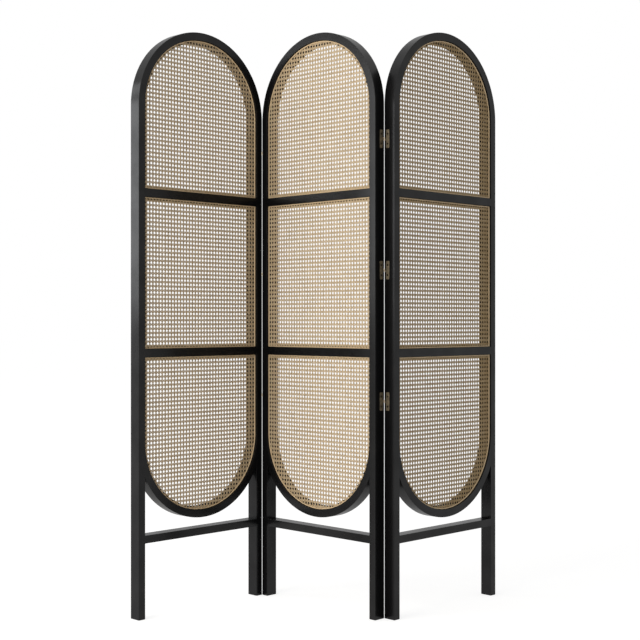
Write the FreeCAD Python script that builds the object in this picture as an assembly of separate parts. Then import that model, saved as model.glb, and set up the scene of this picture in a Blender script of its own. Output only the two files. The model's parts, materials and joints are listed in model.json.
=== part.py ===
import FreeCAD, Part
import os

# A folding screen of three arched cane panels. Millimetres, +Z up, floor at Z = 0.
# The middle panel lies along X, facing -Y, with its middle over the origin.
# The side panels stand square to it: the left one to the front, the right one to the back.

# One panel, all three alike
panel_width = 500.0
panel_height = 1800.0
frame_depth = 40.0
frame_face = 24.0              # face width of the legs and the arches
foot_ease = 1.0                # the edges of each foot, taken off at 45 degrees
bottom_arch_base = 283.0       # floor to the lowest point of the bottom arch
rail_face = 25.0
upper_rail_centre = 1285.0
lower_rail_centre = 801.0
stretcher_base = 228.0
stretcher_height = 24.0

# The stepped inside edge that carries the cane, and what lies on it
ledge_width = 9.0
ledge_setback = 8.0            # face of the frame to the ledge
cane_thickness = 1.4
cane_play = 0.2                # all round, inside the frame's lip
cane_band = 17.0               # the open cane is drawn in bands, each for a few strands
cane_gaps_across = 12
cane_gaps_up = 12
reed_width = 4.0
reed_height = 2.4

# Loose tenons of the glued joints
tenon_length = 36.0
tenon_height = 16.0
tenon_thickness = 8.0
tenon_play = 0.1
tenon_end_play = 0.5
arch_tenon_drop = 78.0         # from the spring of the bottom arch to its tenons

# Hinges, three in each of two lines
hinge_drop = 102.8             # from the spring of the top arch to the upper hinges
hinge_spacing = 396.0
end_gap = 0.8                  # between two panels that stand in line
face_gap = 0.5                 # between two panels folded together
leaf_height = 55.5
leaf_width = 13.0
leaf_inset = 6.3               # from the panel's face to the leaf
leaf_thickness = 1.5
leaf_play = 0.1
barrel_radius = 2.4
barrel_height = 10.0
barrel_play = 0.4
knuckle_play = 0.1             # between the two knuckles, and between each and the other panel's tab
pin_radius = 1.2
pin_play = 0.05
rest_fold = 90.0               # how far each side panel is folded from in line, as it stands

# Worked out from the sizes above
half_width = panel_width / 2
front = -frame_depth / 2
back = frame_depth / 2
inner = half_width - frame_face
ledge_edge = inner - ledge_width
ledge_face = front + ledge_setback
cane_face = ledge_face - cane_thickness
top_spring = panel_height - half_width
bottom_spring = bottom_arch_base + half_width
half_rail = rail_face / 2
barrel_offset = end_gap / 2
barrel_standoff = face_gap / 2
axis_x = half_width + barrel_offset
axis_y = back + barrel_standoff
fields = ("top", "middle", "bottom")
hinge_levels = {
    "upper": top_spring - hinge_drop,
    "middle": top_spring - hinge_drop - hinge_spacing,
    "lower": top_spring - hinge_drop - 2 * hinge_spacing,
}

up = FreeCAD.Vector(0, 0, 1)
depthwise = FreeCAD.Vector(0, 1, 0)
across = FreeCAD.Vector(1, 0, 0)


def point(x, y, z):
    return FreeCAD.Vector(x, y, z)


def box(x0, x1, y0, y1, z0, z1):
    low = point(min(x0, x1), min(y0, y1), min(z0, z1))
    return Part.makeBox(abs(x1 - x0), abs(y1 - y0), abs(z1 - z0), low)


def flat_face(corners):
    return Part.Face(Part.makePolygon(corners + corners[:1]))


def mirrored(shape):
    return shape.mirror(point(0, 0, 0), across)


def on_both_sides(shape):
    return [shape, mirrored(shape)]


# The frame

def frame_section(z):
    # the stepped section of a leg or an arch, on the right-hand side
    outline = [
        (half_width, front),
        (inner, front),
        (inner, ledge_face),
        (ledge_edge, ledge_face),
        (ledge_edge, back),
        (half_width, back),
    ]
    return flat_face([point(x, y, z) for x, y in outline])


def right_leg():
    foot = box(inner, half_width, front, back, 0, bottom_spring)
    sole = [edge for edge in foot.Edges if edge.BoundBox.ZMax < foot_ease / 2]
    foot = foot.makeChamfer(foot_ease, sole)
    stile = frame_section(bottom_spring).extrude(up * (top_spring - bottom_spring))
    return foot.fuse(stile).removeSplitter()


def top_arch():
    return frame_section(top_spring).revolve(point(0, 0, top_spring), -depthwise, 180)


def bottom_arch():
    ring = frame_section(bottom_spring).revolve(point(0, 0, bottom_spring), depthwise, 180)
    between_legs = box(-inner, inner, front, back, bottom_arch_base, bottom_spring)
    return ring.common(between_legs)


def rail(centre):
    face = box(-inner, inner, front, ledge_face, centre - half_rail, centre + half_rail)
    half_body = half_rail + ledge_width
    body = box(-ledge_edge, ledge_edge, ledge_face, back, centre - half_body, centre + half_body)
    return face.fuse(body).removeSplitter()


def stretcher():
    return box(-inner, inner, front, back, stretcher_base, stretcher_base + stretcher_height)


def tenon_places():
    # middle of each tenon on the right-hand side, and whether it stands upright
    body_middle = (ledge_face + back) / 2
    return [
        (point((half_width + ledge_edge) / 2, body_middle, top_spring), True),
        (point(inner, body_middle, bottom_spring - arch_tenon_drop), False),
        (point(ledge_edge, body_middle, upper_rail_centre), False),
        (point(ledge_edge, body_middle, lower_rail_centre), False),
        (point(inner, 0, stretcher_base + stretcher_height / 2), False),
    ]


def tenon(centre, upright, side_play=0.0, end_play=0.0):
    half_length = tenon_length / 2 + end_play
    half_height = tenon_height / 2 + side_play
    half_thick = tenon_thickness / 2 + side_play
    half_x, half_z = (half_height, half_length) if upright else (half_length, half_height)
    x, y, z = centre
    return box(x - half_x, x + half_x, y - half_thick, y + half_thick, z - half_z, z + half_z)


def loose_tenons():
    return [
        shape
        for centre, upright in tenon_places()
        for shape in on_both_sides(tenon(centre, upright))
    ]


def mortises():
    return [
        shape
        for centre, upright in tenon_places()
        for shape in on_both_sides(tenon(centre, upright, tenon_play, tenon_end_play))
    ]


# The cane fields: the outline of each, a set distance inside the frame's lip

def arched_outline(inset, base, spring, y):
    # a straight base, two straight sides and a half circle, up or down
    radius = inner - inset
    base = base + inset if spring > base else base - inset
    rise = radius if spring > base else -radius
    path = [(-radius, spring), (-radius, base), (radius, base), (radius, spring)]
    corners = [point(x, y, z) for x, z in path]
    arc = Part.Arc(corners[3], point(0, y, spring + rise), corners[0])
    sides = [Part.makeLine(corners[i], corners[i + 1]) for i in range(3)]
    return Part.Face(Part.Wire(sides + [arc.toShape()]))


def square_outline(inset, y):
    half = inner - inset
    low = lower_rail_centre + half_rail + inset
    high = upper_rail_centre - half_rail - inset
    path = [(-half, low), (half, low), (half, high), (-half, high)]
    return flat_face([point(x, y, z) for x, z in path])


def field_outline(field, inset, y):
    if field == "top":
        return arched_outline(inset, upper_rail_centre + half_rail, top_spring, y)
    if field == "bottom":
        return arched_outline(inset, lower_rail_centre - half_rail, bottom_spring, y)
    return square_outline(inset, y)


def field_ends(field, inset):
    # lowest and highest point of a field
    if field == "top":
        return upper_rail_centre + half_rail + inset, top_spring + inner - inset
    if field == "bottom":
        return bottom_spring - inner + inset, lower_rail_centre - half_rail - inset
    return lower_rail_centre + half_rail + inset, upper_rail_centre - half_rail - inset


def band_starts(low, high, gaps):
    # the first and last bands lie along the edges of the sheet
    pitch = (high - low - cane_band) / gaps
    return [low + pitch * k for k in range(gaps + 1)]


def cane_sheet(field):
    # upright bands in front, level bands behind, face to face where they cross
    sheet = field_outline(field, cane_play, cane_face).extrude(depthwise * cane_thickness)
    middle = cane_face + cane_thickness / 2
    half = inner - cane_play
    low, high = field_ends(field, cane_play)
    upright = [
        box(x, x + cane_band, cane_face, middle, low, high)
        for x in band_starts(-half, half, cane_gaps_across)
    ]
    level = [
        box(-half, half, middle, ledge_face, z, z + cane_band)
        for z in band_starts(low, high, cane_gaps_up)
    ]
    return Part.makeCompound([sheet.common(band) for band in upright + level])


def reed_spline(field):
    outer = field_outline(field, cane_play, cane_face)
    hollow = field_outline(field, cane_play + reed_width, cane_face)
    return outer.cut(hollow).extrude(-depthwise * reed_height)


# A hinge in its own frame: its pin stands on the origin, one panel's end is on the +X side,
# and the faces that the hinge folds together look toward -Y

def leaf_blank(z0, z1, play=0.0):
    # the plate let into the end of the leg, and the tab from it to the knuckle
    flush = barrel_offset + leaf_thickness
    near = barrel_standoff + leaf_inset
    far = near + leaf_width
    half_tall = leaf_height / 2 + play
    plate = box(barrel_offset, flush, near - play, far + play, -half_tall, half_tall)
    tab = box(barrel_offset, flush, 0, near, z0 - play, z1 + play)
    return plate.fuse(tab).removeSplitter()


def barrel(radius, z0, z1):
    return Part.makeCylinder(radius, z1 - z0, point(0, 0, z0))


def leaf(z0, z1):
    knuckle = barrel(barrel_radius, z0, z1)
    bore = barrel(pin_radius + pin_play, z0, z1)
    return leaf_blank(z0, z1).fuse(knuckle).cut(bore).removeSplitter()


def centre_leaf():
    # the middle panel's leaf has the upper knuckle
    return leaf(knuckle_play / 2, barrel_height / 2)


def side_leaf():
    return leaf(-barrel_height / 2, -knuckle_play / 2)


def hinge_pin():
    return barrel(pin_radius, -barrel_height / 2, barrel_height / 2)


def leaf_seat():
    # what is cut from a leg to let in a leaf and the barrel beside it
    half_barrel = barrel_height / 2
    reach = barrel_radius + barrel_play
    room = box(0, reach, 0, reach, -half_barrel - barrel_play, half_barrel + barrel_play)
    return [leaf_blank(-half_barrel, half_barrel, leaf_play), room]


# Placing: each hinge line has one side on the middle panel and one on a side panel

def at_hinge(shape, line, level, flip=False):
    placed = mirrored(shape) if flip else shape.copy()
    placed.translate(up * hinge_levels[level])
    if line == "right":
        placed.rotate(point(0, 0, 0), up, 180)
        placed.translate(point(axis_x, axis_y, 0))
    else:
        placed.translate(point(-axis_x, -axis_y, 0))
    return placed


def folded(shape, line):
    # a side panel's piece, turned from in line to its place
    sign = 1 if line == "right" else -1
    turned = shape.copy()
    turned.rotate(point(sign * axis_x, sign * axis_y, 0), up, rest_fold)
    return turned


def moved_in_line(shape, line):
    sign = 1 if line == "right" else -1
    placed = shape.copy()
    placed.translate(across * (sign * 2 * axis_x))
    return placed


def panel_pieces():
    pieces = {
        "left_leg": mirrored(right_leg()),
        "right_leg": right_leg(),
        "top_arch": top_arch(),
        "bottom_arch": bottom_arch(),
        "upper_rail": rail(upper_rail_centre),
        "lower_rail": rail(lower_rail_centre),
        "stretcher": stretcher(),
    }
    pieces = {name: shape.cut(mortises()) for name, shape in pieces.items()}
    for field in fields:
        pieces[field + "_cane"] = cane_sheet(field)
    pieces["reed_splines"] = Part.makeCompound([reed_spline(field) for field in fields])
    pieces["loose_tenons"] = Part.makeCompound(loose_tenons())
    return pieces


def seats(line, flip):
    return [at_hinge(shape, line, level, flip) for level in hinge_levels for shape in leaf_seat()]


def middle_panel():
    pieces = panel_pieces()
    pieces["left_leg"] = pieces["left_leg"].cut(seats("left", False))
    pieces["right_leg"] = pieces["right_leg"].cut(seats("right", False))
    return pieces


def side_panel(line):
    pieces = {name: moved_in_line(shape, line) for name, shape in panel_pieces().items()}
    hinged_leg = "left_leg" if line == "right" else "right_leg"
    pieces[hinged_leg] = pieces[hinged_leg].cut(seats(line, True))
    return {name: folded(shape, line) for name, shape in pieces.items()}


def hinges(line):
    pieces = {}
    for level in hinge_levels:
        name = f"{line}_{level}_hinge"
        pieces[name + "_centre_leaf"] = at_hinge(centre_leaf(), line, level)
        pieces[name + "_side_leaf"] = folded(at_hinge(side_leaf(), line, level, True), line)
    pins = [at_hinge(hinge_pin(), line, level) for level in hinge_levels]
    pieces[line + "_hinge_pins"] = Part.makeCompound(pins)
    return pieces


nodes = {"middle_panel_" + name: shape for name, shape in middle_panel().items()}
for line in ("left", "right"):
    nodes.update({f"{line}_panel_{name}": shape for name, shape in side_panel(line).items()})
    nodes.update(hinges(line))

os.makedirs("parts", exist_ok=True)
for name, shape in nodes.items():
    shape.exportStep(f"parts/{name}.step")
print(len(nodes), "nodes", sum(len(shape.Solids) for shape in nodes.values()), "solids")
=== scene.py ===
import json
import math
import bmesh
import bpy
from mathutils import Matrix, Vector


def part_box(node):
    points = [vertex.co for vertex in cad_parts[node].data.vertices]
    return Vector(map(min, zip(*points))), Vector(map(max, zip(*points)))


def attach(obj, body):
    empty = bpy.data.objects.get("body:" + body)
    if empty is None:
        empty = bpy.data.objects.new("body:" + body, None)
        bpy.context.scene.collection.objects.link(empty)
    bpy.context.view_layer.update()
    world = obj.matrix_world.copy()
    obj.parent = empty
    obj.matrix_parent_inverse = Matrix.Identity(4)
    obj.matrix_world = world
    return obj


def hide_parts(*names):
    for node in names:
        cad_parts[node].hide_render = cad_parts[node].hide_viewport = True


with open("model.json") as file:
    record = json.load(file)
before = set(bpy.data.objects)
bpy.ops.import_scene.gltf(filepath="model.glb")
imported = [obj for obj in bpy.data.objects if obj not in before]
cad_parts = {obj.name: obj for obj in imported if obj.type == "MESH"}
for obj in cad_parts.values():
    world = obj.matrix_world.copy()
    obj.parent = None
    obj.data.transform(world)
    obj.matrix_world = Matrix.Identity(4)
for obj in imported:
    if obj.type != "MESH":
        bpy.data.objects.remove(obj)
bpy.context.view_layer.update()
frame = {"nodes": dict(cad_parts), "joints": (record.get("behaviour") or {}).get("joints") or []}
mm = 0.001                              # sizes below are millimetres, the scene is in metres
toMetres = Matrix.Scale(mm, 4)
scene = bpy.context.scene
scene.view_settings.view_transform = "Standard"
print("frame loaded,", len(frame["nodes"]), "nodes")


# What the frame says, read from the middle panel, which stands along X and faces -Y

def nodeSpan(node, axis):
    low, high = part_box(node)
    return low[axis] / mm, high[axis] / mm


def nodeMiddle(node, axis):
    return sum(nodeSpan(node, axis)) / 2


panelNames = ("left", "middle", "right")
fieldNames = ("top", "middle", "bottom")
hingeLines = ("left", "right")
hingeLevels = ("upper", "middle", "lower")
front, back = nodeSpan("middle_panel_stretcher", 1)
inner = nodeSpan("middle_panel_stretcher", 0)[1]                # inside face of the legs
halfWidth = nodeSpan("middle_panel_top_arch", 0)[1]
topSpring = nodeSpan("middle_panel_top_arch", 2)[0]
bottomSpring = nodeSpan("middle_panel_bottom_arch", 2)[1]
upperRail = nodeMiddle("middle_panel_upper_rail", 2)
lowerRail = nodeMiddle("middle_panel_lower_rail", 2)
caneFront, ledgeFace = nodeSpan("middle_panel_middle_cane", 1)
ledgeWidth = inner - nodeSpan("middle_panel_right_leg", 0)[0]   # the step behind the cane
railFace = 2 * (nodeSpan("middle_panel_upper_rail", 2)[1] - upperRail - ledgeWidth)


def panelPlace(panel):  # a panel's own frame: along X, facing -Y
    low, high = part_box(f"{panel}_panel_stretcher")
    middle = (Vector(low) + Vector(high)) / 2
    turned = high[1] - low[1] > high[0] - low[0]
    turn = Matrix.Rotation(math.radians(90 if turned else 0), 4, "Z")
    return Matrix.Translation((middle.x, middle.y, 0)) @ turn


# Nodes and colours

def linear(code):  # sRGB hex to linear RGBA
    parts = [int(code[i:i + 2], 16) / 255 for i in (1, 3, 5)]
    return [p / 12.92 if p <= 0.04045 else ((p + 0.055) / 1.055) ** 2.4 for p in parts] + [1]


def setSockets(tree, node, inputs):  # an output is linked, a plain value is set
    for key, value in inputs.items():
        if isinstance(value, bpy.types.NodeSocket):
            tree.links.new(value, node.inputs[key])
        else:
            node.inputs[key].default_value = value


def addNode(tree, kind, inputs=None, **settings):
    node = tree.nodes.new(kind)
    for key, value in settings.items():
        setattr(node, key, value)
    setSockets(tree, node, inputs or {})
    return node


def startMaterial(name):
    material = bpy.data.materials.new(name)
    material.use_nodes = True
    tree = material.node_tree
    return material, tree, tree.nodes["Principled BSDF"]


def startTree(name, inputs):
    tree = bpy.data.node_groups.new(name, "GeometryNodeTree")
    tree.interface.new_socket("Geometry", in_out="INPUT", socket_type="NodeSocketGeometry")
    for label, kind in inputs:
        tree.interface.new_socket(label, in_out="INPUT", socket_type=kind)
    tree.interface.new_socket("Geometry", in_out="OUTPUT", socket_type="NodeSocketGeometry")
    return tree, tree.nodes.new("NodeGroupInput").outputs


# Materials: lengths in millimetres, rough as a pair for the low and high end of the pattern

noiseLow, noiseHigh = 0.3, 0.7          # nearly all values of a noise lie between these


def grainAlong(tree, length, width, detail, roughness=0.5):  # noise drawn out along a piece's own UV map
    uv = addNode(tree, "ShaderNodeUVMap", uv_map="grain").outputs["UV"]
    stretch = (1 / (length * mm), 1 / (width * mm), 1)
    drawn = addNode(tree, "ShaderNodeMapping", {"Vector": uv, "Scale": stretch})
    grain = addNode(tree, "ShaderNodeTexNoise",
                    {"Vector": drawn.outputs["Vector"], "Scale": 1, "Detail": detail,
                     "Roughness": roughness})
    return grain.outputs["Fac"]


lacquerLook = {
    "dark": "#0a0a0b", "light": "#121213",
    "coatThin": 0.46, "coatFull": 0.58, "cloud": 71.43,     # a thin clear coat, uneven in clouds
    "coatRough": 0.21, "coatIor": 1.45,
    "poreWidth": 0.9, "poreLength": 45,     # grain filled by the lacquer, drawn coarse enough to show
    "poreDepth": 0.1, "poreStrength": 0.1,
    "peel": 2.2, "peelDepth": 0.05, "peelStrength": 0.06,   # ripple of the sprayed coat
}


def blackLacquer():  # satin lacquer sprayed on close-grained wood: soft sheen, faint grain
    look = lacquerLook
    material, tree, shader = startMaterial("satinBlackLacquer")
    grain = grainAlong(tree, look["poreLength"], look["poreWidth"], detail=4, roughness=0.6)
    place = addNode(tree, "ShaderNodeTexCoord").outputs["Object"]
    cloud = addNode(tree, "ShaderNodeTexNoise",
                    {"Vector": place, "Scale": 1 / (look["cloud"] * mm), "Detail": 2})
    peel = addNode(tree, "ShaderNodeTexNoise",
                   {"Vector": place, "Scale": 1 / (look["peel"] * mm), "Detail": 1})
    share = addNode(tree, "ShaderNodeMapRange",
                    {"Value": grain, "From Min": noiseLow, "From Max": noiseHigh})
    tone = addNode(tree, "ShaderNodeMix",
                   {"Factor": share.outputs["Result"], "A": linear(look["dark"]),
                    "B": linear(look["light"])}, data_type="RGBA")
    coat = addNode(tree, "ShaderNodeMapRange",
                   {"Value": cloud.outputs["Fac"], "From Min": noiseLow, "From Max": noiseHigh,
                    "To Min": look["coatThin"], "To Max": look["coatFull"]})
    ripple = addNode(tree, "ShaderNodeBump",
                     {"Height": peel.outputs["Fac"], "Strength": look["peelStrength"],
                      "Distance": look["peelDepth"] * mm})
    pores = addNode(tree, "ShaderNodeBump",
                    {"Height": grain, "Strength": look["poreStrength"],
                     "Distance": look["poreDepth"] * mm, "Normal": ripple.outputs["Normal"]})
    setSockets(tree, shader, {
        "Base Color": tone.outputs["Result"], "Normal": pores.outputs["Normal"],
        "Specular IOR Level": 0,            # only the coat over the black shines
        "Coat Weight": coat.outputs["Result"], "Coat Normal": pores.outputs["Normal"],
        "Coat Roughness": look["coatRough"], "Coat IOR": look["coatIor"],
    })
    return material


# darker, duller black for the wall and ledge behind the cane: painted shade of the recess
rebateShadeLook = {
    "dark": "#080706", "light": "#120f0c", "rough": (0.95, 0.75), "shine": 0.12,
    "poreWidth": 0.7, "poreLength": 30, "poreDepth": 0.15, "poreStrength": 0.3,
}


def rebatePaintedShade():  # wood behind the cane left matte black with no coat, darker than the lacquer: painted shade of the recess behind the cane; open grain
    look = rebateShadeLook
    material, tree, shader = startMaterial("rebatePaintedShade")
    grain = grainAlong(tree, look["poreLength"], look["poreWidth"], detail=4)
    tone = addNode(tree, "ShaderNodeMix",
                   {"Factor": grain, "A": linear(look["dark"]), "B": linear(look["light"])},
                   data_type="RGBA")
    dull = addNode(tree, "ShaderNodeMapRange",
                   {"Value": grain, "To Min": look["rough"][0], "To Max": look["rough"][1]})
    bump = addNode(tree, "ShaderNodeBump",
                   {"Height": grain, "Strength": look["poreStrength"],
                    "Distance": look["poreDepth"] * mm})
    setSockets(tree, shader, {
        "Base Color": tone.outputs["Result"], "Roughness": dull.outputs["Result"],
        "Normal": bump.outputs["Normal"], "Specular IOR Level": look["shine"],
    })
    return material


caneLook = {
    "pale": "#c9b596", "deep": "#9d845c", "knot": "#8d6f48", "rough": (0.38, 0.58), "shine": 0.3,
    "deepest": 0.4, "palest": 2.2,          # blotch, fibre, and each strand's random tint with its sheet's painted light, added up
    "fibreLength": 30, "fibres": 22,        # fine lines along a strand, and how many go round it
    "fibreHeight": 0.06, "fibreStrength": 0.25,
    "blotch": 30,
    "apart": 100,                           # the tint, with the sheet's painted light, takes each strand to its own part of the noise
    "knotPitch": 190, "knotLength": 4, "knotShade": 0.6,
    "knotShift": 7,                         # pitches that the tint and painted light move the knots by
}


def rattanSkin():  # peeled rattan skin: pale straw, silky, fine lines, darker knots
    look = caneLook
    material, tree, shader = startMaterial("rattanSkin")
    along = addNode(tree, "ShaderNodeAttribute", attribute_name="along").outputs["Fac"]
    around = addNode(tree, "ShaderNodeAttribute", attribute_name="around").outputs["Fac"]
    toneAndShade = addNode(tree, "ShaderNodeAttribute", attribute_name="toneAndShade").outputs["Fac"]
    strand = addNode(tree, "ShaderNodeCombineXYZ",
                     {"X": along, "Y": around, "Z": toneAndShade}).outputs["Vector"]
    patterns = []
    for length, linesRound in ((look["fibreLength"], look["fibres"]), (look["blotch"], 1)):
        stretch = (1 / (length * mm), linesRound, look["apart"])
        drawn = addNode(tree, "ShaderNodeMapping", {"Vector": strand, "Scale": stretch})
        noise = addNode(tree, "ShaderNodeTexNoise",
                        {"Vector": drawn.outputs["Vector"], "Scale": 1, "Detail": 2})
        patterns.append(noise.outputs["Fac"])
    fibre, blotch = patterns
    both = addNode(tree, "ShaderNodeMath", {0: blotch, 1: fibre}, operation="ADD")
    # the tint carries the sheet's painted light and shade as well
    summed = addNode(tree, "ShaderNodeMath", {0: both.outputs["Value"], 1: toneAndShade}, operation="ADD")
    share = addNode(tree, "ShaderNodeMapRange",
                    {"Value": summed.outputs["Value"], "From Min": look["deepest"],
                     "From Max": look["palest"]})
    skin = addNode(tree, "ShaderNodeMix",
                   {"Factor": share.outputs["Result"], "A": linear(look["deep"]),
                    "B": linear(look["pale"])}, data_type="RGBA")
    shift = addNode(tree, "ShaderNodeMath",
                    {0: toneAndShade, 1: look["knotPitch"] * mm * look["knotShift"]}, operation="MULTIPLY")
    start = addNode(tree, "ShaderNodeMath", {0: along, 1: shift.outputs["Value"]}, operation="ADD")
    ring = addNode(tree, "ShaderNodeMath",
                   {0: start.outputs["Value"], 1: look["knotPitch"] / 2 * mm}, operation="PINGPONG")
    knot = addNode(tree, "ShaderNodeMapRange",
                   {"Value": ring.outputs["Value"], "From Max": look["knotLength"] / 2 * mm,
                    "To Min": look["knotShade"], "To Max": 0})
    tone = addNode(tree, "ShaderNodeMix",
                   {"Factor": knot.outputs["Result"], "A": skin.outputs["Result"],
                    "B": linear(look["knot"])}, data_type="RGBA")
    silk = addNode(tree, "ShaderNodeMapRange",
                   {"Value": fibre, "To Min": look["rough"][0], "To Max": look["rough"][1]})
    bump = addNode(tree, "ShaderNodeBump",
                   {"Height": fibre, "Strength": look["fibreStrength"],
                    "Distance": look["fibreHeight"] * mm})
    setSockets(tree, shader, {
        "Base Color": tone.outputs["Result"], "Roughness": silk.outputs["Result"],
        "Normal": bump.outputs["Normal"], "Specular IOR Level": look["shine"],
    })
    return material


reedLook = {
    "pale": "#dfcaa6", "deep": "#bda079", "rough": (0.7, 0.5),
    "fibreWidth": 0.5, "fibreLength": 40, "fibreHeight": 0.12, "fibreStrength": 0.4,
}


def rattanReed():  # split rattan core: warmer than its skin, dull, coarse lines along it
    look = reedLook
    material, tree, shader = startMaterial("rattanReed")
    grain = grainAlong(tree, look["fibreLength"], look["fibreWidth"], detail=3)
    share = addNode(tree, "ShaderNodeMapRange",
                    {"Value": grain, "From Min": noiseLow, "From Max": noiseHigh})
    tone = addNode(tree, "ShaderNodeMix",
                   {"Factor": share.outputs["Result"], "A": linear(look["deep"]),
                    "B": linear(look["pale"])}, data_type="RGBA")
    dull = addNode(tree, "ShaderNodeMapRange",
                   {"Value": grain, "To Min": look["rough"][0], "To Max": look["rough"][1]})
    bump = addNode(tree, "ShaderNodeBump",
                   {"Height": grain, "Strength": look["fibreStrength"],
                    "Distance": look["fibreHeight"] * mm})
    setSockets(tree, shader, {
        "Base Color": tone.outputs["Result"], "Roughness": dull.outputs["Result"],
        "Normal": bump.outputs["Normal"],
    })
    return material


leafLook = {
    "worn": "#a0927a", "patina": "#665c49", "patch": 9,
    "wornFrom": 0.5, "wornTo": 0.66,        # noise where wear begins, and where the brass is bare
    "scratchWidth": 0.25, "scratchLength": 9, "scratchDepth": 0.03, "scratchStrength": 0.15,
    "rough": (0.45, 0.28), "metal": (0.25, 1),      # of patina and of bare brass
}
barrelLook = {
    **leafLook,
    "worn": "#c4b8a4", "patina": "#7a7060", "patch": 3,
    "wornFrom": 0.25, "wornTo": 0.45,
    "scratchWidth": 0.2, "scratchLength": 2,
}


def agedBrass(name, look):  # stamped brass under a dull brown patina, rubbed bare by handling
    material, tree, shader = startMaterial(name)
    place = addNode(tree, "ShaderNodeTexCoord").outputs["Object"]
    patch = addNode(tree, "ShaderNodeTexNoise",
                    {"Vector": place, "Scale": 1 / (look["patch"] * mm), "Detail": 4})
    across = 1 / (look["scratchWidth"] * mm)
    stretch = (across, across, 1 / (look["scratchLength"] * mm))
    brushed = addNode(tree, "ShaderNodeMapping", {"Vector": place, "Scale": stretch})
    scratch = addNode(tree, "ShaderNodeTexNoise",
                      {"Vector": brushed.outputs["Vector"], "Scale": 1, "Detail": 2})
    bare = addNode(tree, "ShaderNodeMapRange",
                   {"Value": patch.outputs["Fac"], "From Min": look["wornFrom"],
                    "From Max": look["wornTo"]}).outputs["Result"]
    tone = addNode(tree, "ShaderNodeMix",
                   {"Factor": bare, "A": linear(look["patina"]), "B": linear(look["worn"])},
                   data_type="RGBA")
    metal = addNode(tree, "ShaderNodeMapRange",
                    {"Value": bare, "To Min": look["metal"][0], "To Max": look["metal"][1]})
    rough = addNode(tree, "ShaderNodeMapRange",
                    {"Value": bare, "To Min": look["rough"][0], "To Max": look["rough"][1]})
    bump = addNode(tree, "ShaderNodeBump",
                   {"Height": scratch.outputs["Fac"], "Strength": look["scratchStrength"],
                    "Distance": look["scratchDepth"] * mm})
    setSockets(tree, shader, {
        "Base Color": tone.outputs["Result"], "Metallic": metal.outputs["Result"],
        "Roughness": rough.outputs["Result"], "Normal": bump.outputs["Normal"],
    })
    return material


screwLook = {"black": "#1c1814", "brown": "#3a3026", "patch": 1.5, "rough": (0.3, 0.55), "metal": 0.7}


def blackenedScrew():  # blackened steel gone brown in patches: darker than the leaves
    look = screwLook
    material, tree, shader = startMaterial("blackenedScrew")
    place = addNode(tree, "ShaderNodeTexCoord").outputs["Object"]
    patch = addNode(tree, "ShaderNodeTexNoise",
                    {"Vector": place, "Scale": 1 / (look["patch"] * mm), "Detail": 3}).outputs["Fac"]
    tone = addNode(tree, "ShaderNodeMix",
                   {"Factor": patch, "A": linear(look["black"]), "B": linear(look["brown"])},
                   data_type="RGBA")
    rough = addNode(tree, "ShaderNodeMapRange",
                    {"Value": patch, "To Min": look["rough"][0], "To Max": look["rough"][1]})
    setSockets(tree, shader, {
        "Base Color": tone.outputs["Result"], "Roughness": rough.outputs["Result"],
        "Metallic": look["metal"],
    })
    return material


beechLook = {
    "pale": "#d9b98d", "deep": "#c39a68", "rough": 0.7,
    "fleckWidth": 0.8, "fleckLength": 4, "fleckDepth": 0.1, "fleckStrength": 0.2,
}


def bareBeech():  # planed beech of the hidden tenons: pinkish tan with short flecks
    look = beechLook
    material, tree, shader = startMaterial("bareBeech")
    place = addNode(tree, "ShaderNodeTexCoord").outputs["Object"]
    short = 1 / (look["fleckWidth"] * mm)
    stretch = (1 / (look["fleckLength"] * mm), short, short)
    wood = addNode(tree, "ShaderNodeMapping", {"Vector": place, "Scale": stretch})
    fleck = addNode(tree, "ShaderNodeTexNoise",
                    {"Vector": wood.outputs["Vector"], "Scale": 1, "Detail": 3}).outputs["Fac"]
    tone = addNode(tree, "ShaderNodeMix",
                   {"Factor": fleck, "A": linear(look["deep"]), "B": linear(look["pale"])},
                   data_type="RGBA")
    bump = addNode(tree, "ShaderNodeBump",
                   {"Height": fleck, "Strength": look["fleckStrength"],
                    "Distance": look["fleckDepth"] * mm})
    setSockets(tree, shader, {
        "Base Color": tone.outputs["Result"], "Normal": bump.outputs["Normal"],
        "Roughness": look["rough"],
    })
    return material


lacquer = blackLacquer()
rebateShade = rebatePaintedShade()
cane = rattanSkin()
reed = rattanReed()
brass = agedBrass("antiqueBrass", leafLook)
rubbedBrass = agedBrass("rubbedBrass", barrelLook)
screwSteel = blackenedScrew()
beech = bareBeech()
print("materials made")


# Meshes, made in millimetres and placed in metres

meshing = {"weld": 0.001, "sharpAngle": 40, "circleSides": 32}


def roundedLoop(corners, steps):  # corners are (u, v, radius), all square
    loop = []
    for i, (u, v, radius) in enumerate(corners):
        corner = Vector((u, v))
        if radius == 0:
            loop.append(corner)
            continue
        toLast = (Vector(corners[i - 1][:2]) - corner).normalized()
        toNext = (Vector(corners[(i + 1) % len(corners)][:2]) - corner).normalized()
        centre = corner + radius * (toLast + toNext)
        for k in range(steps + 1):
            turn = math.pi / 2 * k / steps
            loop.append(centre - radius * (toNext * math.cos(turn) + toLast * math.sin(turn)))
    return loop


def circleTurns():
    sides = meshing["circleSides"]
    return [2 * math.pi * k / sides for k in range(sides)]


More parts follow.
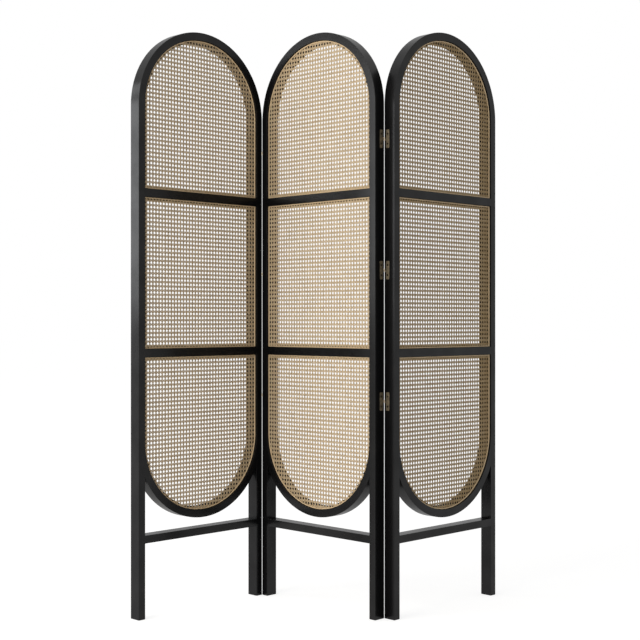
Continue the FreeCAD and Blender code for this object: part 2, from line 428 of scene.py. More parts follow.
# Skins rings of points. Strips named in second have the second material, the rebate's painted shade, from
# the ring since onwards.
def loft(bm, rings, distances, closed=False, second=(), since=0):
    grain = bm.loops.layers.uv.get("grain") or bm.loops.layers.uv.new("grain")
    count = len(rings[0])
    around = [0]
    for i in range(count):
        around.append(around[-1] + (rings[0][(i + 1) % count] - rings[0][i]).length)
    grid = [[bm.verts.new(point) for point in ring] for ring in rings]
    last = len(rings) if closed else len(rings) - 1
    for r in range(last):
        s = (r + 1) % len(rings)
        for i in range(count):
            j = (i + 1) % count
            face = bm.faces.new((grid[r][i], grid[r][j], grid[s][j], grid[s][i]))
            face.material_index = int(i in second and r >= since)
            spots = ((r, i), (r, i + 1), (r + 1, i + 1), (r + 1, i))
            for corner, (a, b) in zip(face.loops, spots):
                corner[grain].uv = (distances[a] * mm, around[b] * mm)
    if not closed:
        bm.faces.new(grid[0])
        bm.faces.new(grid[-1])


def addPiece(bm, name, place, *materials):
    bmesh.ops.remove_doubles(bm, verts=bm.verts, dist=meshing["weld"])
    bm.transform(place @ toMetres)
    bmesh.ops.recalc_face_normals(bm, faces=bm.faces)
    mesh = bpy.data.meshes.new(name)
    bm.to_mesh(mesh)
    bm.free()
    mesh.shade_smooth()
    mesh.set_sharp_from_angle(angle=math.radians(meshing["sharpAngle"]))
    for material in materials:
        mesh.materials.append(material)
    piece = bpy.data.objects.new(name, mesh)
    scene.collection.objects.link(piece)
    return piece


def cutAway(piece, bm):  # leaves a plain mesh, with closed shells in it joined
    bmesh.ops.recalc_face_normals(bm, faces=bm.faces)
    mesh = bpy.data.meshes.new("cutter")
    bm.to_mesh(mesh)
    bm.free()
    cutter = bpy.data.objects.new("cutter", mesh)
    scene.collection.objects.link(cutter)
    cut = piece.modifiers.new("cut", "BOOLEAN")
    cut.operation = "DIFFERENCE"
    cut.solver = "EXACT"
    cut.use_self = True
    cut.object = cutter
    graph = bpy.context.evaluated_depsgraph_get()
    piece.data = bpy.data.meshes.new_from_object(piece.evaluated_get(graph))
    piece.data.set_sharp_from_angle(angle=math.radians(meshing["sharpAngle"]))
    piece.modifiers.clear()
    bpy.data.objects.remove(cutter)


def flatShading(piece):  # keeps broad faces flat beside their rounded edges
    piece.modifiers.new("weightedNormal", "WEIGHTED_NORMAL").keep_sharp = True


def growPiece(mesh, tree, inputs, name, place):  # what a node tree makes of a mesh, as a plain mesh
    source = bpy.data.objects.new(mesh.name, mesh)
    scene.collection.objects.link(source)
    growing = source.modifiers.new(tree.name, "NODES")
    growing.node_group = tree
    for item in tree.interface.items_tree:
        if item.item_type == "SOCKET" and item.in_out == "INPUT" and item.name in inputs:
            growing[item.identifier] = inputs[item.name]
    graph = bpy.context.evaluated_depsgraph_get()
    grown = bpy.data.meshes.new_from_object(source.evaluated_get(graph))
    grown.name = name
    grown.transform(place @ toMetres)
    bpy.data.objects.remove(source)
    piece = bpy.data.objects.new(name, grown)
    scene.collection.objects.link(piece)
    return piece


def standFor(piece, body, slot, *nodes):
    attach(piece, body)
    if nodes:
        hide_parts(*nodes)


# The lacquered frame of a panel, in the panel's own frame

woodWork = {
    "outerRound": 0.5,                  # outside edges
    "lipRound": 0.5,                    # edges round the cane
    "footEase": 1,
    "overlap": 1,                       # how far a rail's face bar runs into its body
    "roundSteps": 3,
    "archSteps": 96,
}


def rebateShadeStrips():  # of a stile's section: the wall behind the cane, and the ledge, which take the rebate's painted shade
    corner = 3 * (woodWork["roundSteps"] + 1)
    return corner - 1, corner


def stileSection(ledge, ease=0):  # right-hand side, X and Y
    wood = woodWork
    step = inner - ledge
    corners = [
        (halfWidth - ease, front + ease, wood["outerRound"]),
        (halfWidth - ease, back - ease, wood["outerRound"]),
        (step + ease, back - ease, wood["lipRound"]),
        (step + ease, ledgeFace, 0),
        (inner + ease, ledgeFace, 0),
        (inner + ease, front + ease, wood["lipRound"]),
    ]
    return roundedLoop(corners, wood["roundSteps"])


def makeLeg(side):
    foot = woodWork["footEase"]
    plain = [(0, 0, foot), (foot, 0, 0), (bottomSpring, 0, 0)]              # height, ledge and easing
    stepped = [(bottomSpring, ledgeWidth, 0), (topSpring, ledgeWidth, 0)]
    stations = plain + stepped
    rings = [
        [Vector((side * p.x, p.y, z)) for p in stileSection(ledge, ease)]
        for z, ledge, ease in stations
    ]
    bm = bmesh.new()
    loft(bm, rings, [z for z, ledge, ease in stations], second=rebateShadeStrips(), since=len(plain))
    return bm


def makeArch(spring, rise):  # rise is 1 for the top arch and -1 for the bottom one
    steps = woodWork["archSteps"]
    section = stileSection(ledgeWidth)
    turns = [math.pi * k / steps for k in range(steps + 1)]
    rings = [
        [Vector((p.x * math.cos(t), p.y, spring + rise * p.x * math.sin(t))) for p in section]
        for t in turns
    ]
    bm = bmesh.new()
    loft(bm, rings, [t * halfWidth for t in turns], second=rebateShadeStrips())
    return bm


def cutBetweenLegs(bm):  # the bottom arch ends in the rounded edges of the legs
    reach = inner + woodWork["lipRound"]
    for side in (-1, 1):
        geometry = bm.verts[:] + bm.edges[:] + bm.faces[:]
        bmesh.ops.bisect_plane(bm, geom=geometry, plane_co=(side * reach, 0, 0), plane_no=(side, 0, 0),
                               clear_outer=True)
        rim = [edge for edge in bm.edges if edge.is_boundary]
        bmesh.ops.contextual_create(bm, geom=rim)


def addBar(bm, halfLength, depths, heights, frontRound, backRound, second=()):
    (y0, y1), (z0, z1) = depths, heights
    corners = [(y0, z0, frontRound), (y1, z0, backRound), (y1, z1, backRound), (y0, z1, frontRound)]
    section = roundedLoop(corners, woodWork["roundSteps"])
    ends = (-halfLength, halfLength)
    rings = [[Vector((x, p.x, p.y)) for p in section] for x in ends]
    loft(bm, rings, [x + halfLength for x in ends], second=second)


def makeRail(centre):  # face bar flush with the legs, and the wider body behind the cane
    wood = woodWork
    edge = wood["lipRound"]
    half = railFace / 2
    body = half + ledgeWidth
    above = 2 * wood["roundSteps"] + 2      # strip of the body's upper face, and then comes its front
    bm = bmesh.new()
    addBar(bm, inner + edge, (front, ledgeFace + wood["overlap"]), (centre - half, centre + half), edge, 0)
    # the body's strips behind the cane take the rebate's painted shade
    addBar(bm, inner - ledgeWidth + edge, (ledgeFace, back), (centre - body, centre + body), 0, edge,
           second=(0, above, above + 1))
    return bm


def makeStretcher():
    edge = woodWork["lipRound"]
    bm = bmesh.new()
    addBar(bm, inner + edge, (front, back), nodeSpan("middle_panel_stretcher", 2), edge, edge)
    return bm


def frameMeshes():
    bottomArch = makeArch(bottomSpring, -1)
    cutBetweenLegs(bottomArch)
    return {
        "left_leg": makeLeg(-1),
        "right_leg": makeLeg(1),
        "top_arch": makeArch(topSpring, 1),
        "bottom_arch": bottomArch,
        "upper_rail": makeRail(upperRail),
        "lower_rail": makeRail(lowerRail),
        "stretcher": makeStretcher(),
    }


# Hinges, each in its own frame: pin on the origin, leg on the +X side, folding faces toward -Y

leafSize = {
    "height": 55.5, "width": 13, "corner": 2.5, "cornerSteps": 6, "thickness": 1.5, "easing": 0.25,
    "inset": 6.3,                       # from the face of the leg
    "play": 0.15, "tabThickness": 1.3,
    "barrel": 2.4, "barrelHeight": 10, "barrelPlay": 0.4, "knuckleGap": 0.1,
    "pin": 1.25, "pinPlay": 0.1,        # radii, as the barrel's
    "countersink": 6.6, "countersinkDepth": 1.2, "countersinkRise": 0.5, "screwPitch": 30,
    "overlap": 1,                       # how far a cutter or a tab runs past the face that it meets
}
folds = {joint["name"]: Vector(joint["pos_m"]) / mm for joint in frame["joints"]}
pinToEnd = folds["right_fold"].x - halfWidth            # how far the pin stands off the leg
pinToFace = folds["right_fold"].y - back
leafNear = pinToFace + leafSize["inset"]


def hingePlace(line, level, swung):
    pin = folds[line + "_fold"]
    height = nodeMiddle(f"{line}_{level}_hinge_centre_leaf", 2)
    turn = 0 if line == "left" else 180
    place = Matrix.Translation(Vector((pin.x, pin.y, height)) * mm)
    place = place @ Matrix.Rotation(math.radians(turn), 4, "Z")
    if swung:                           # the side panel's leaf stands square to the middle panel's
        place = place @ Matrix.Rotation(math.radians(90), 4, "Z") @ Matrix.Scale(-1, 4, (1, 0, 0))
    return place


def addBox(bm, x0, x1, y0, y1, z0, z1):
    corners = ((x0, y0), (x1, y0), (x1, y1), (x0, y1))
    loft(bm, [[Vector((x, y, z)) for x, y in corners] for z in (z0, z1)], (z0, z1))


def addPlate(bm, layers, grow=0):  # layers are (x, how far the outline is drawn in)
    size = leafSize
    low = Vector((leafNear - grow, -size["height"] / 2 - grow))
    high = Vector((leafNear + size["width"] + grow, size["height"] / 2 + grow))
    rings = []
    for x, ease in layers:
        corners = [(low.x + ease, low.y + ease), (high.x - ease, low.y + ease),
                   (high.x - ease, high.y - ease), (low.x + ease, high.y - ease)]
        radius = size["corner"] + grow - ease
        loop = roundedLoop([(u, v, radius) for u, v in corners], size["cornerSteps"])
        rings.append([Vector((x, p.x, p.y)) for p in loop])
    loft(bm, rings, [ring[0].x for ring in rings])


def seatCutter(line, swung):  # what a leg loses for the leaves and barrels of a hinge line
    size = leafSize
    past = size["overlap"]
    deep = pinToEnd + size["thickness"]
    room = size["barrel"] + size["barrelPlay"]
    tab = size["barrelHeight"] / 2 + size["play"]
    barrel = size["barrelHeight"] / 2 + size["barrelPlay"]
    bm = bmesh.new()
    for level in hingeLevels:
        done = len(bm.verts)
        addPlate(bm, ((-past, 0), (deep, 0)), size["play"])
        addBox(bm, -past, deep, -past, leafNear + past, -tab, tab)
        addBox(bm, -past, room, -past, room, -barrel, barrel)
        place = hingePlace(line, level, swung) @ toMetres
        bmesh.ops.transform(bm, matrix=place, verts=bm.verts[done:])
    return bm


hingedLegs = {                          # hinge line, and whether the leg swings on it
    "middle_panel_left_leg": ("left", False), "middle_panel_right_leg": ("right", False),
    "left_panel_right_leg": ("left", True), "right_panel_left_leg": ("right", True),
}
for panel in panelNames:
    for part, bm in frameMeshes().items():
        node = f"{panel}_panel_{part}"
        # lacquer outside, and the rebate's painted shade behind the cane
        piece = addPiece(bm, node + ".lacquered", panelPlace(panel), lacquer, rebateShade)
        if node in hingedLegs:
            cutAway(piece, seatCutter(*hingedLegs[node]))
        flatShading(piece)
        standFor(piece, panel + "_panel", "black_lacquer", node)
print("frames lacquered")


def makeLeaf(upperKnuckle):
    size = leafSize
    edge = size["easing"]
    bm = bmesh.new()
    addPlate(bm, ((pinToEnd, edge), (pinToEnd + edge, 0), (pinToEnd + size["thickness"], 0)))
    z0, z1 = size["knuckleGap"] / 2, size["barrelHeight"] / 2
    if not upperKnuckle:
        z0, z1 = -z1, -z0
    addBox(bm, pinToEnd, pinToEnd + size["tabThickness"],
           size["pin"] + size["pinPlay"], leafNear + size["overlap"], z0, z1)
    outer, bore = size["barrel"], size["pin"]
    wall = ((z0, outer - edge), (z0 + edge, outer), (z1 - edge, outer), (z1, outer - edge),
            (z1, bore), (z0, bore))
    rings = [
        [Vector((radius * math.cos(t), radius * math.sin(t), z)) for t in circleTurns()]
        for z, radius in wall
    ]
    plain = len(bm.faces)
    loft(bm, rings, range(len(wall) + 1), closed=True)
    for face in bm.faces[plain:]:       # the barrel is rubbed barer than the leaf
        face.material_index = 1
    return bm


def screwSpots():  # middle of each screw's head, in the hinge's own frame
    across = leafNear + leafSize["width"] / 2
    return [Vector((pinToEnd, across, side * leafSize["screwPitch"] / 2)) for side in (-1, 1)]


def countersinks(place):
    size = leafSize
    radius = size["countersink"] / 2
    depths = (-size["countersinkRise"], size["countersinkDepth"])
    bm = bmesh.new()
    for spot in screwSpots():
        rings = [
            [spot + Vector((x, radius * math.cos(t), radius * math.sin(t))) for t in circleTurns()]
            for x in depths
        ]
        loft(bm, rings, depths)
    bm.transform(place @ toMetres)
    return bm


hingeLeaves = [
    (line, level, swung)
    for line in hingeLines for level in hingeLevels for swung in (False, True)
]
for line, level, swung in hingeLeaves:
    node = f"{line}_{level}_hinge_{'side' if swung else 'centre'}_leaf"
    place = hingePlace(line, level, swung)
    piece = addPiece(makeLeaf(not swung), node + ".stamped", place, brass, rubbedBrass)
    cutAway(piece, countersinks(place))
    flatShading(piece)
    standFor(piece, f"{line}_panel" if swung else "middle_panel", "antique_brass", node)
print("hinges hung")


screwSize = {
    "head": 6.4, "depth": 1.0, "sunk": 0.12, "recess": 3.8, "slot": 0.9,
    "lift": 0.3,                        # how far the recess stands above the head's middle, in depths
}


def screwTree():  # flat heads with a cross recess, turned at random, on points
    kinds = [(name, "NodeSocketFloat") for name in ("Head", "Depth", "Recess", "Slot", "Lift")]
    kinds += [("Sides", "NodeSocketInt"), ("Seed", "NodeSocketInt"), ("Metal", "NodeSocketMaterial")]
    tree, given = startTree("countersunkScrews", kinds)
    radius = addNode(tree, "ShaderNodeMath", {0: given["Head"], 1: 2}, operation="DIVIDE")
    disc = addNode(tree, "GeometryNodeMeshCylinder",
                   {"Vertices": given["Sides"], "Radius": radius.outputs["Value"],
                    "Depth": given["Depth"]})
    cross = addNode(tree, "GeometryNodeJoinGeometry")
    for wide, narrow in (("X", "Y"), ("Y", "X")):
        size = addNode(tree, "ShaderNodeCombineXYZ",
                       {wide: given["Recess"], narrow: given["Slot"], "Z": given["Depth"]})
        bar = addNode(tree, "GeometryNodeMeshCube", {"Size": size.outputs["Vector"]})
        tree.links.new(bar.outputs["Mesh"], cross.inputs["Geometry"])
    lift = addNode(tree, "ShaderNodeMath", {0: given["Depth"], 1: given["Lift"]}, operation="MULTIPLY")
    raised = addNode(tree, "ShaderNodeCombineXYZ", {"Z": lift.outputs["Value"]})
    recess = addNode(tree, "GeometryNodeTransform",
                     {"Geometry": cross.outputs["Geometry"], "Translation": raised.outputs["Vector"]})
    head = addNode(tree, "GeometryNodeMeshBoolean",
                   {"Mesh 1": disc.outputs["Mesh"], "Mesh 2": recess.outputs["Geometry"],
                    "Self Intersection": True}, operation="DIFFERENCE", solver="EXACT")
    facing = addNode(tree, "GeometryNodeInputNamedAttribute",
                     {"Name": "facing"}, data_type="FLOAT_VECTOR")
    aim = addNode(tree, "FunctionNodeAlignRotationToVector",
                  {"Vector": facing.outputs["Attribute"]}, axis="Z")
    angle = addNode(tree, "FunctionNodeRandomValue", {"Seed": given["Seed"]}, data_type="FLOAT")
    turn = addNode(tree, "ShaderNodeMath", {0: angle.outputs[1], 1: math.pi}, operation="MULTIPLY")
    spin = addNode(tree, "FunctionNodeAxisAngleToRotation",
                   {"Axis": (0, 0, 1), "Angle": turn.outputs["Value"]})
    stand = addNode(tree, "FunctionNodeRotateRotation",
                    {"Rotation": aim.outputs["Rotation"], "Rotate By": spin.outputs["Rotation"]},
                    rotation_space="LOCAL")
    screws = addNode(tree, "GeometryNodeInstanceOnPoints",
                     {"Points": given["Geometry"], "Instance": head.outputs["Mesh"],
                      "Rotation": stand.outputs["Rotation"]})
    real = addNode(tree, "GeometryNodeRealizeInstances", {"Geometry": screws.outputs["Instances"]})
    metal = addNode(tree, "GeometryNodeSetMaterial",
                    {"Geometry": real.outputs["Geometry"], "Material": given["Metal"]})
    addNode(tree, "NodeGroupOutput", {"Geometry": metal.outputs["Geometry"]})
    return tree


fastening = screwTree()
for seed, panel in enumerate(panelNames):
    spots, facings = [], []
    for line, level, swung in hingeLeaves:
        if panel != (line if swung else "middle"):
            continue
        place = hingePlace(line, level, swung)
        middle = Vector((screwSize["sunk"] + screwSize["depth"] / 2, 0, 0))
        for spot in screwSpots():
            spots.append(place @ toMetres @ (spot + middle) / mm)
            facings.extend(place.to_3x3() @ Vector((-1, 0, 0)))
    mesh = bpy.data.meshes.new("screwSpots")
    mesh.from_pydata(spots, [], [])
    mesh.attributes.new("facing", "FLOAT_VECTOR", "POINT").data.foreach_set("vector", facings)
    inputs = {
        "Head": screwSize["head"], "Depth": screwSize["depth"], "Recess": screwSize["recess"],
        "Slot": screwSize["slot"], "Lift": screwSize["lift"], "Sides": meshing["circleSides"],
        "Seed": seed, "Metal": screwSteel,
    }
    piece = growPiece(mesh, fastening, inputs, panel + "_panel.hingeScrews", Matrix.Identity(4))
    standFor(piece, panel + "_panel", "antique_brass")
    print(panel, "screws driven,", len(spots))


# The cane fields: outlines a set distance inside the frame's lip, as X and Z

def fieldEnds(field, inset):  # straight end, spring and rise of a field, or its straight ends
    half = railFace / 2 + inset
    if field == "top":
        return upperRail + half, topSpring, 1
    if field == "bottom":
        return lowerRail - half, bottomSpring, -1
    return lowerRail + half, upperRail - half, 0


def fieldOutline(field, inset, steps):
    reach = inner - inset
    base, spring, rise = fieldEnds(field, inset)
    corners = [(-reach, base), (reach, base)]
    if rise == 0:
        return corners + [(reach, spring), (-reach, spring)]
    turns = [math.pi * k / steps for k in range(steps + 1)]
    return corners + [(reach * math.cos(t), spring + rise * reach * math.sin(t)) for t in turns]


reedSpline = {"width": 4, "height": 2.4, "play": 0.2, "roundSteps": 8, "archSteps": 72}


def makeReeds():  # half-round, laid round each field over the edge of the cane
    size = reedSpline
    bm = bmesh.new()
    for field in fieldNames:
        sections = []
        for k in range(size["roundSteps"] + 1):
            turn = math.pi * k / size["roundSteps"]
            inset = size["play"] + size["width"] / 2 * (1 - math.cos(turn))
            depth = caneFront - size["height"] * math.sin(turn)
            outline = fieldOutline(field, inset, size["archSteps"])
            sections.append([Vector((x, depth, z)) for x, z in outline])
        rings = [list(ring) for ring in zip(*sections)]
        distances = [0]
        for i in range(len(rings)):
            distances.append(distances[-1] + (rings[(i + 1) % len(rings)][0] - rings[i][0]).length)
        loft(bm, rings, distances, closed=True)
    return bm


for panel in panelNames:
    node = panel + "_panel_reed_splines"
    piece = addPiece(makeReeds(), node + ".rounded", panelPlace(panel), reed)
    standFor(piece, panel + "_panel", "reed", node)
print("reeds laid")


# Woven cane: pairs of strands across and up, and single strands both ways on the diagonal

caneWeave = {
    "pitchAcross": 11.87,
    "pitchUp": 12.92,
    "pairAcross": 1.28,                 # middle of a pair to each of its strands
    "pairUp": 1.4,
    "widthUp": 2.35,                    # strands that run up
    "widthAcross": 2.5,
    "widthDiagonal": 2.1,
    "thickness": 0.7, "widthAtThickness": 2.4,      # wider strands are thicker in proportion
    "sides": 6,                         # of a strand's section
    "pairLift": 0.32,                   # how far a strand bends out of the sheet's middle
    "diagonalLift": 0.55,
    "edge": 0.6,                        # inside the frame's lip
    "shortest": 4,                      # shorter ends of strands are left out
    "endClear": 0.05,                   # no bend this close to a strand's end, in its own steps
    "columns": range(-21, 22), "rows": range(15, 140),          # enough to cover any field
    "diagonals": range(-30, 170), "crossings": range(-90, 91),
}
caneStart = {"left": 4.06, "middle": -5.37, "right": 2.23}      # a hole's middle, from the panel's
fieldStart = {"top": 6.6, "middle": 2.4, "bottom": 11.3}        # a hole's middle, above the floor
sheetPaintedLight = {"left": 0.08, "middle": 0.12, "right": -0.95}      # each sheet painted paler or deeper for the light on its panel: painted light and shade


def clipLine(field, start, step):  # the stretch of a line inside a field, as multiples of step
    reach = inner - caneWeave["edge"]
    base, spring, rise = fieldEnds(field, caneWeave["edge"])
    top = spring + rise * reach
    limits = ((-reach, reach), (min(base, top), max(base, top)))
    low, high = -math.inf, math.inf
    for at, go, (a, b) in zip(start, step, limits):
        if go == 0:
            if not a < at < b:
                return None
            continue
        first, second = sorted(((a - at) / go, (b - at) / go))
        low, high = max(low, first), min(high, second)
    if low >= high:
        return None
    if rise == 0:
        return low, high
    offset = Vector((start[0], start[1] - spring))      # where the line meets the arch's circle
    go = Vector(step)
    a, b, c = go.dot(go), offset.dot(go), offset.dot(offset) - reach * reach
    inside = b * b - a * c
    beyond = [rise * (start[1] + t * step[1] - spring) > 0 for t in (low, high)]
    if inside <= 0:
        return None if all(beyond) else (low, high)
    near, far = (-b - math.sqrt(inside)) / a, (-b + math.sqrt(inside)) / a
    if beyond[0]:
        low = max(low, near)
    if beyond[1]:
        high = min(high, far)
    return (low, high) if low < high else None


# Gives each strand's start, step, width, lift, and where it bends to the front (1) or the back (-1)
def strandLines(panel, field):
    weave = caneWeave
    a, b = weave["pitchAcross"], weave["pitchUp"]
    x0 = caneStart[panel] + a / 2
    z0 = fieldStart[field] + b / 2
    columns, rows = weave["columns"], weave["rows"]
    for i in columns:
        for side in (-1, 1):
            x = x0 + i * a + side * weave["pairAcross"]
            bends = [(z0 + j * b + s * weave["pairUp"], side * s) for j in rows for s in (-1, 1)]
            yield (x, 0), (0, 1), weave["widthUp"], weave["pairLift"], bends
    for j in rows:
        for side in (-1, 1):
            z = z0 + j * b + side * weave["pairUp"]
            bends = [(x0 + i * a + s * weave["pairAcross"], -side * s) for i in columns for s in (-1, 1)]
            yield (0, z), (1, 0), weave["widthAcross"], weave["pairLift"], bends
    for slope in (-1, 1):
        for k in weave["diagonals"]:
            start = (x0, z0 + (k + 0.5) * b)
            bends = [(m, slope if m % 2 == 0 else -slope) for m in weave["crossings"]]
            yield start, (a / 2, slope * b / 2), weave["widthDiagonal"], weave["diagonalLift"], bends


def strandMesh(panel, field):  # straight strands as edges, with what the tree needs at each point
    points, edges = [], []
    facts = {"over": [], "along": [], "breadth": [], "strand": []}
    clear = caneWeave["endClear"]
    for number, (start, step, width, lift, bends) in enumerate(strandLines(panel, field)):
        ends = clipLine(field, start, step)
        if ends is None:
            continue
        low, high = ends
        length = math.hypot(*step)
        if (high - low) * length < caneWeave["shortest"]:
            continue
        stations = [(t, over) for t, over in bends if low + clear < t < high - clear]
        stations = [(low, 0)] + stations + [(high, 0)]
        for k, (t, over) in enumerate(stations):
            if k:
                edges.append((len(points) - 1, len(points)))
            points.append((start[0] + t * step[0], 0, start[1] + t * step[1]))
            facts["over"].append(over * lift)
            facts["along"].append(t * length * mm)
            facts["breadth"].append(width)
            facts["strand"].append(number)
    mesh = bpy.data.meshes.new("strands")
    mesh.from_pydata(points, edges, [])
    for fact, values in facts.items():
        kind = "INT" if fact == "strand" else "FLOAT"
        mesh.attributes.new(fact, kind, "POINT").data.foreach_set("value", values)
    return mesh


def weaveTree():  # bends strands over and under, gives them a flat crowned section, and stores each strand's tint with its sheet's painted light and shade
    kinds = [(name, "NodeSocketFloat") for name in ("Thickness", "Depth", "SheetShade")]
    kinds += [("Sides", "NodeSocketInt"), ("Seed", "NodeSocketInt"), ("Skin", "NodeSocketMaterial")]
    tree, given = startTree("caneWeave", kinds)
    over = addNode(tree, "GeometryNodeInputNamedAttribute", {"Name": "over"}, data_type="FLOAT")
    breadth = addNode(tree, "GeometryNodeInputNamedAttribute", {"Name": "breadth"}, data_type="FLOAT")
    strand = addNode(tree, "GeometryNodeInputNamedAttribute", {"Name": "strand"}, data_type="INT")
    chance = addNode(tree, "FunctionNodeRandomValue",
                     {"ID": strand.outputs["Attribute"], "Seed": given["Seed"]}, data_type="FLOAT")
    # each strand's random tint, plus its sheet's painted light and shade
    toneAndShade = addNode(tree, "ShaderNodeMath", {0: chance.outputs[1], 1: given["SheetShade"]}, operation="ADD")
    toned = addNode(tree, "GeometryNodeStoreNamedAttribute",
                    {"Geometry": given["Geometry"], "Name": "toneAndShade", "Value": toneAndShade.outputs["Value"]},
                    data_type="FLOAT")
    lines = addNode(tree, "GeometryNodeMeshToCurve", {"Mesh": toned.outputs["Geometry"]})
    depth = addNode(tree, "ShaderNodeMath",
                    {0: given["Depth"], 1: over.outputs["Attribute"]}, operation="SUBTRACT")
    shift = addNode(tree, "ShaderNodeCombineXYZ", {"Y": depth.outputs["Value"]})
    bent = addNode(tree, "GeometryNodeSetPosition",
                   {"Geometry": lines.outputs["Curve"], "Offset": shift.outputs["Vector"]})
    facing = addNode(tree, "GeometryNodeSetCurveNormal",
                     {"Curve": bent.outputs["Geometry"], "Normal": (0, 1, 0)}, mode="FREE")
    ring = addNode(tree, "GeometryNodeCurvePrimitiveCircle",
                   {"Resolution": given["Sides"], "Radius": 0.5})       # one across, scaled by breadth
    turn = addNode(tree, "GeometryNodeSplineParameter")
    marked = addNode(tree, "GeometryNodeStoreNamedAttribute",
                     {"Geometry": ring.outputs["Curve"], "Name": "around",
                      "Value": turn.outputs["Factor"]}, data_type="FLOAT")
    flat = addNode(tree, "ShaderNodeCombineXYZ", {"X": given["Thickness"], "Y": 1, "Z": 1})
    section = addNode(tree, "GeometryNodeTransform",
                      {"Geometry": marked.outputs["Geometry"], "Scale": flat.outputs["Vector"]})
    swept = addNode(tree, "GeometryNodeCurveToMesh",
                    {"Curve": facing.outputs["Curve"], "Profile Curve": section.outputs["Geometry"],
                     "Scale": breadth.outputs["Attribute"], "Fill Caps": True})
    smooth = addNode(tree, "GeometryNodeSetShadeSmooth", {"Geometry": swept.outputs["Mesh"]})
    real = addNode(tree, "GeometryNodeRealizeInstances", {"Geometry": smooth.outputs["Geometry"]})
    skin = addNode(tree, "GeometryNodeSetMaterial",
                   {"Geometry": real.outputs["Geometry"], "Material": given["Skin"]})
    addNode(tree, "NodeGroupOutput", {"Geometry": skin.outputs["Geometry"]})
    return tree


weaving = weaveTree()
for seed, panel in enumerate(panelNames):
    inputs = {
        "Thickness": caneWeave["thickness"] / caneWeave["widthAtThickness"],
        "Depth": (caneFront + ledgeFace) / 2, "SheetShade": sheetPaintedLight[panel], "Sides": caneWeave["sides"],
        "Seed": seed, "Skin": cane,
    }
    for field in fieldNames:
        node = f"{panel}_panel_{field}_cane"
        piece = growPiece(strandMesh(panel, field), weaving, inputs, node + ".woven", panelPlace(panel))
        standFor(piece, panel + "_panel", "cane", node)
        print(node, "woven,", len(piece.data.polygons), "faces")


plainPieces = {"hinge_pins": brass, "loose_tenons": beech}      # CAD pieces that keep their shape
for node, piece in frame["nodes"].items():
    for ending, material in plainPieces.items():
        if node.endswith(ending):
            piece.data.materials.clear()
            piece.data.materials.append(material)


# Floor, light and camera, in metres

studio = {
    "floor": "#f2f2f2", "floorReach": 40, "floorRough": 0.9,
    "floorShade": "#aaaaaa", "floorGlow": (0.785, 0.818),   # white with a faint shadow, near and far
    "floorFade": (1.2, 4),              # from the middle, where near ends and far begins
    "ambient": (1.0, 1.0, 0.995), "ambientLevel": 0.455,
    "lampAim": (0, 0, 0.9),
    "lamps": (                          # name, watts, place, width, height, colour
        ("keySoftbox", 138, (-0.6, -4.2, 2.2), 3.2, 3.2, "#fff9f0"),
        ("sideSoftbox", 71, (-4.6, -4.0, 1.91), 3.0, 1.8, "#fbfdff"),
        ("highSoftbox", 15, (-5.15, -3.25, 3.7), 1.0, 1.2, "#fbfdff"),
    ),
}


def backgroundRays(tree):  # rays that see a white background: the camera's, and reflections
    rays = addNode(tree, "ShaderNodeLightPath").outputs
    seen = addNode(tree, "ShaderNodeMath",
                   {0: rays["Is Camera Ray"], 1: rays["Is Glossy Ray"]}, operation="MAXIMUM")
    every = addNode(tree, "ShaderNodeMath",
                    {0: seen.outputs["Value"], 1: rays["Is Transmission Ray"]}, operation="MAXIMUM")
    return every.outputs["Value"]


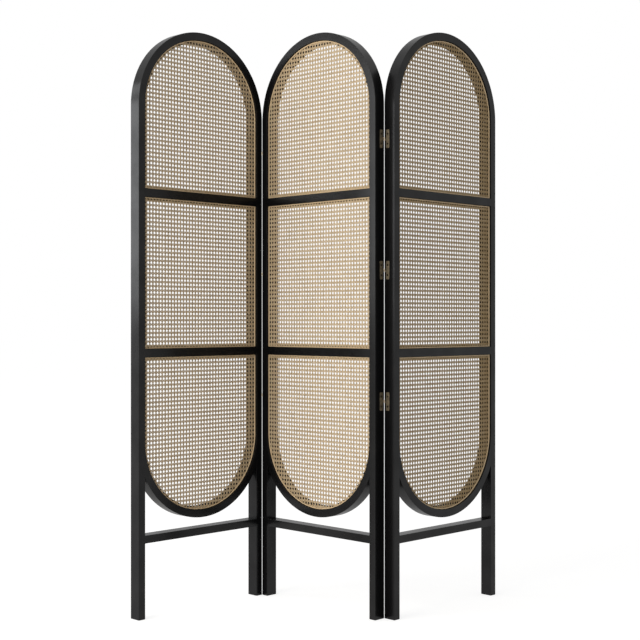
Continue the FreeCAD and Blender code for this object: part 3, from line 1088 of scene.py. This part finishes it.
def addFloor():
    bm = bmesh.new()
    bmesh.ops.create_grid(bm, x_segments=1, y_segments=1, size=studio["floorReach"])
    mesh = bpy.data.meshes.new("floor")
    bm.to_mesh(mesh)
    bm.free()
    floor = bpy.data.objects.new("floor", mesh)
    scene.collection.objects.link(floor)
    material, tree, shader = startMaterial("paleFloor")
    seen = backgroundRays(tree)
    tone = addNode(tree, "ShaderNodeMix",
                   {"Factor": seen, "A": linear(studio["floor"]), "B": linear(studio["floorShade"])},
                   data_type="RGBA")
    place = addNode(tree, "ShaderNodeTexCoord").outputs["Object"]
    away = addNode(tree, "ShaderNodeVectorMath", {0: place}, operation="LENGTH")
    (nearEnd, farStart), (nearGlow, farGlow) = studio["floorFade"], studio["floorGlow"]
    level = addNode(tree, "ShaderNodeMapRange",
                    {"Value": away.outputs["Value"], "From Min": nearEnd, "From Max": farStart,
                     "To Min": nearGlow, "To Max": farGlow}, interpolation_type="SMOOTHSTEP")
    glow = addNode(tree, "ShaderNodeMath", {0: seen, 1: level.outputs["Result"]}, operation="MULTIPLY")
    setSockets(tree, shader, {
        "Base Color": tone.outputs["Result"], "Emission Strength": glow.outputs["Value"],
        "Emission Color": (1, 1, 1, 1), "Roughness": studio["floorRough"], "Specular IOR Level": 0,
    })
    mesh.materials.append(material)


def lightStudio():
    world = bpy.data.worlds.new("studio")
    scene.world = world
    world.use_nodes = True
    tree = world.node_tree
    soft = tree.nodes["Background"]
    setSockets(tree, soft, {"Color": (*studio["ambient"], 1), "Strength": studio["ambientLevel"]})
    white = addNode(tree, "ShaderNodeBackground", {"Color": (1, 1, 1, 1), "Strength": 1})
    mix = addNode(tree, "ShaderNodeMixShader",
                  {0: backgroundRays(tree), 1: soft.outputs["Background"],
                   2: white.outputs["Background"]})
    tree.links.new(mix.outputs["Shader"], tree.nodes["World Output"].inputs["Surface"])
    for name, watts, place, width, height, colour in studio["lamps"]:
        lamp = bpy.data.lights.new(name, "AREA")
        lamp.shape = "RECTANGLE"
        lamp.energy = watts
        lamp.size = width
        lamp.size_y = height
        lamp.color = linear(colour)[:3]
        box = bpy.data.objects.new(name, lamp)
        box.location = place
        aim = Vector(studio["lampAim"]) - box.location
        box.rotation_euler = aim.to_track_quat("-Z", "Y").to_euler()
        box.visible_camera = False
        scene.collection.objects.link(box)


view = {
    "place": (2.772, -2.7951, 0.9009), "turn": 44.794,
    "focalPixels": 1250.2, "imagePixels": 640, "sensor": 36,
}


def addCamera():
    lens = bpy.data.cameras.new("photoView")
    lens.sensor_width = view["sensor"]
    lens.lens = view["sensor"] * view["focalPixels"] / view["imagePixels"]
    camera = bpy.data.objects.new("photoView", lens)
    camera.location = view["place"]
    camera.rotation_euler = (math.radians(90), 0, math.radians(view["turn"]))
    scene.collection.objects.link(camera)
    scene.camera = camera


addFloor()
lightStudio()
addCamera()
print("studio ready")
